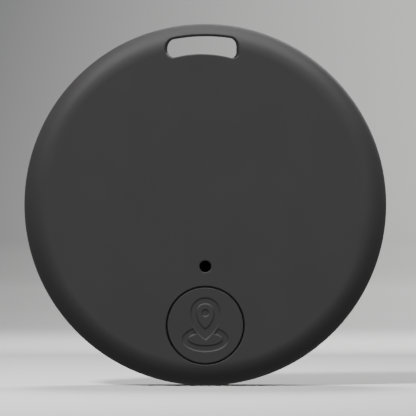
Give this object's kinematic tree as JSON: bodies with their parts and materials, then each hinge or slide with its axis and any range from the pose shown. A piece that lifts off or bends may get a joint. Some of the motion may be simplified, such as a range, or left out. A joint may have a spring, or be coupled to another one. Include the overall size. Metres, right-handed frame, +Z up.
{
  "type": "bluetooth tracker tag",
  "caption": "Round flat tracker tag: two snap-fit dished shells with a key slot, a sound port and a round press button, over a coin cell and circuit board.",
  "frame": {"origin": "centre of the disc, midway between the front and rear faces", "axes": "+Y is the disc's axis and points out of the rear face, +Z points up the disc to the key slot, +X points to the right of the front face as it is looked at"},
  "size_m": [0.042, 0.008, 0.042],
  "materials": {
    "case_plastic": "fine spark-eroded satin, moulded charcoal ABS",
    "cover_plastic": "fine spark-eroded satin, moulded charcoal ABS",
    "button_plastic": "satin, moulded charcoal ABS",
    "mesh_steel": "blackened woven mesh",
    "adhesive_tape": "black double-sided tape",
    "sounder_brass": "rolled, satin",
    "piezo_ceramic": "fired ceramic, matte",
    "printed_silver": "matte silver print",
    "contact_steel": "nickel-plated spring strip",
    "board_laminate": "glass-fibre laminate under green solder mask",
    "gold_plating": "immersion gold, satin",
    "masked_copper": "copper track under solder mask",
    "chip_resin": "matte moulding resin",
    "solder": "tinned, soft sheen",
    "tray_ceramic": "fired ceramic, matte",
    "lid_steel": "plated lid, satin",
    "capacitor_ceramic": "fired ceramic, matte",
    "resistor_glaze": "black glaze",
    "ferrite": "ground ferrite",
    "led_white": "white resin",
    "led_clear": "clear resin",
    "switch_resin": "black moulding resin",
    "switch_steel": "stamped stainless sheet",
    "dome_steel": "sprung stainless sheet",
    "plunger_resin": "natural resin",
    "screw_steel": "blackened steel",
    "holder_plastic": "black moulded nylon",
    "can_steel": "nickel-plated steel, fine radial brushing",
    "cap_steel": "nickel-plated steel, satin",
    "gasket_plastic": "polypropylene",
    "cathode_mix": "pressed powder",
    "anode_metal": "soft metal disc",
    "separator_felt": "non-woven felt",
    "pad_foam": "closed-cell foam"
  },
  "bodies": {
    "case": {"front_shell": "case_plastic", "port_mesh": "mesh_steel", "sounder_tape": "adhesive_tape", "sounder_plate": "sounder_brass", "sounder_ceramic": "piezo_ceramic", "sounder_electrode": "printed_silver", "sounder_contacts": "contact_steel", "circuit_board": "board_laminate", "board_pads": "gold_plating", "printed_antenna": "masked_copper", "bluetooth_chip": "chip_resin", "chip_leads": "solder", "crystal_tray": "tray_ceramic", "crystal_lid": "lid_steel", "capacitor_bodies": "capacitor_ceramic", "resistor_bodies": "resistor_glaze", "sounder_inductor": "ferrite", "soldered_ends": "solder", "led_base": "led_white", "led_lens": "led_clear", "switch_base": "switch_resin", "switch_cover": "switch_steel", "switch_dome": "dome_steel", "switch_terminals": "solder", "board_screws": "screw_steel", "cell_holder": "holder_plastic", "positive_contacts": "contact_steel", "negative_contact": "contact_steel"},
    "button": {"find_button": "button_plastic", "switch_plunger": "plunger_resin"},
    "cover": {"rear_cover": "cover_plastic", "cell_pad": "pad_foam"},
    "cell": {"cell_can": "can_steel", "cell_cap": "cap_steel", "cell_gasket": "gasket_plastic", "cell_cathode": "cathode_mix", "cell_anode": "anode_metal", "cell_separator": "separator_felt"}
  },
  "joints": [
    {"name": "button_press", "type": "slide", "parent": "case", "child": "button", "axis": [0, 1, 0], "range_m": [0, 0.0002], "stiffness_N_per_m": 5000, "springref_m": -0.0001, "deforming": ["switch_dome"]},
    {"name": "cover_lift", "type": "slide", "parent": "case", "child": "cover", "axis": [0, 1, 0], "range_m": [0, 0.016]},
    {"name": "cell_lift", "type": "slide", "parent": "case", "child": "cell", "axis": [0, 1, 0], "range_m": [0, 0.008]}
  ],
  "couplings": [
    {"joint": "cell_lift", "follows": "cover_lift", "ratio": 0.5}
  ]
}
